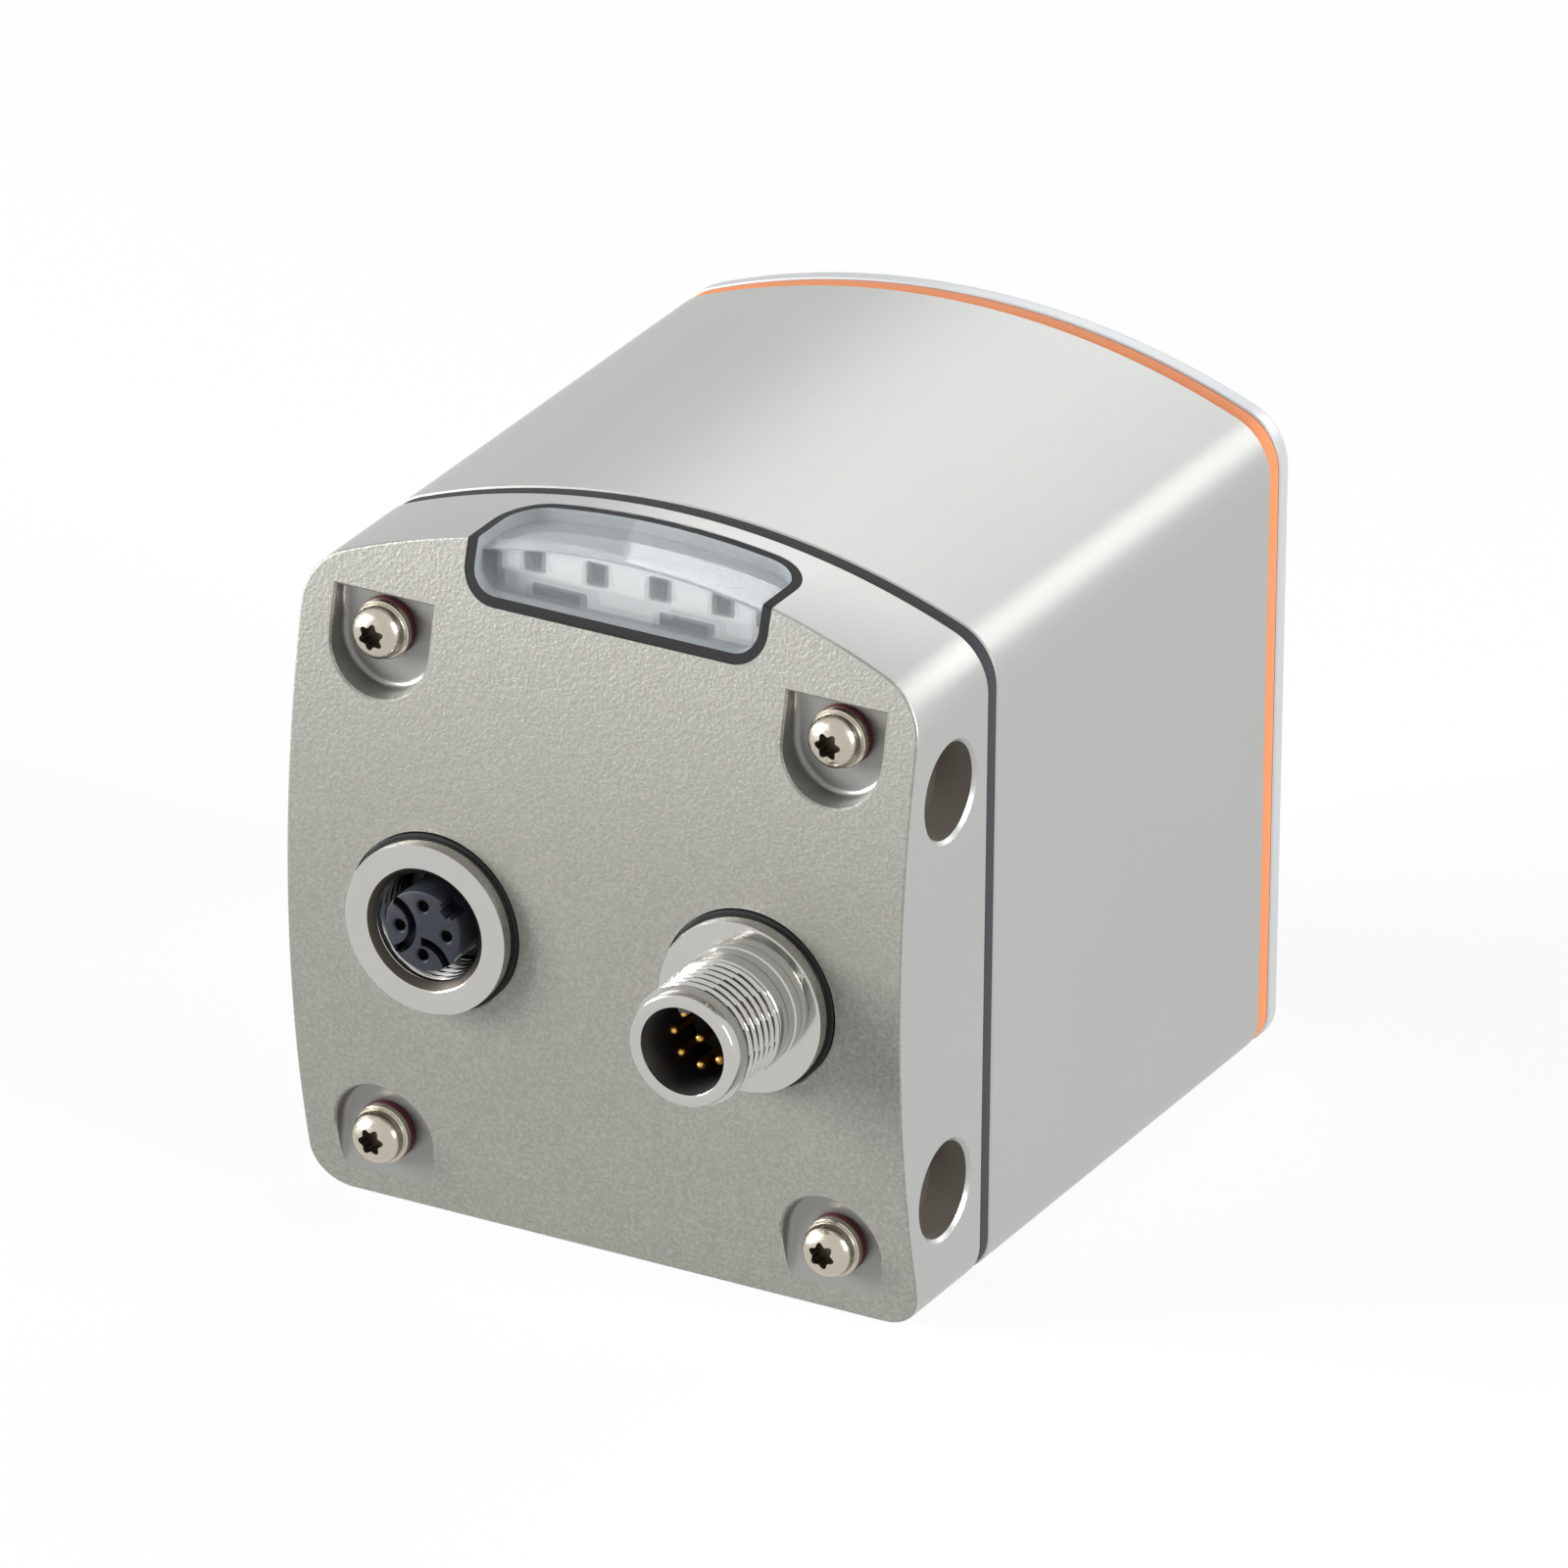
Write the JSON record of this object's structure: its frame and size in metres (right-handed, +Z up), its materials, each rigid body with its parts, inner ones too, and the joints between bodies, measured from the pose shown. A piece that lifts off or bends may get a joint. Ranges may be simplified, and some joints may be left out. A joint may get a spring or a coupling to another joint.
{
  "type": "depth vision sensor",
  "caption": "Boxy industrial depth camera with an arched top, domed rear cover with a round plug and socket, a clear indicator window, sunk screws and a flat front glass.",
  "frame": {"origin": "middle of the flat base under the main housing", "axes": "+Z up from the base, +Y towards the scene that the front glass looks at, +X to the right seen from the connector side"},
  "size_m": [0.0654, 0.0895, 0.0719],
  "materials": {
    "housing_metal": "satin, bead-blasted and clear coated",
    "cover_metal": "fine sand-blasted face, machined sides",
    "front_metal": "pale satin",
    "black_rubber": "matt",
    "gasket_rubber": "matt dark grey",
    "orange_rubber": "matt silicone",
    "red_fibre": "matt",
    "screw_steel": "bright stainless",
    "nickel": "bright nickel plating on brass",
    "gold_contact": "gold plated",
    "insert_black": "moulded",
    "insert_grey": "moulded blue grey",
    "clear_window": "clear",
    "front_glass": "dark, passes near infrared",
    "optic_glass": "coated",
    "filter_glass": "coated",
    "white_plastic": "moulded",
    "black_plastic": "moulded",
    "diffuser": "translucent",
    "board_green": "solder mask",
    "chip_black": "moulded package",
    "sensor_glass": "glossy die",
    "lamp": "clear resin",
    "adhesive": "cured",
    "foam": "closed foam",
    "thermal_pad": "soft",
    "inner_aluminium": "mill finish",
    "black_aluminium": "black anodised",
    "capacitor_can": "bright can",
    "ribbon": "flat cable",
    "header": "moulded"
  },
  "bodies": {
    "root": {"main_housing": "housing_metal", "rear_cover": "cover_metal", "rear_gasket": "gasket_rubber", "front_seal_ring": "orange_rubber", "front_cover": "front_metal", "front_glass": "front_glass", "glass_bond": "adhesive", "light_baffle": "foam", "front_screws": "screw_steel", "rear_screws": "screw_steel", "sealing_washers": "red_fibre", "indicator_window": "clear_window", "indicator_gasket": "black_rubber", "indicator_holder": "white_plastic", "indicator_board": "board_green", "indicator_lamps": "lamp", "indicator_ribbon": "ribbon", "power_plug_shell": "nickel", "power_plug_insert": "insert_black", "power_plug_pins": "gold_contact", "power_plug_seal": "black_rubber", "power_plug_nut": "nickel", "network_socket_shell": "nickel", "network_socket_insert": "insert_grey", "network_socket_contacts": "gold_contact", "network_socket_seal": "black_rubber", "network_socket_nut": "nickel", "connector_board": "board_green", "ribbon_headers": "header", "power_ribbon": "ribbon", "processor_board": "board_green", "power_board": "board_green", "board_standoffs": "nickel", "board_spacers": "nickel", "board_screws": "screw_steel", "board_header": "header", "processor_chip": "chip_black", "thermal_pads": "thermal_pad", "heat_bridge": "inner_aluminium", "memory_chips": "chip_black", "buffer_capacitors": "capacitor_can", "network_transformer": "chip_black", "lens_barrel": "black_aluminium", "front_lens": "optic_glass", "lens_retainer": "black_aluminium", "rear_lens": "optic_glass", "lens_holder": "black_plastic", "holder_screws": "screw_steel", "band_pass_filter": "filter_glass", "imager_chip": "sensor_glass", "imager_board": "board_green", "imager_screws": "screw_steel", "imager_header": "header", "emitter_reflector": "white_plastic", "emitter_chips": "lamp", "emitter_diffuser": "diffuser", "illumination_board": "board_green", "heat_spreader": "inner_aluminium", "illumination_screws": "screw_steel"}
  },
  "joints": []
}
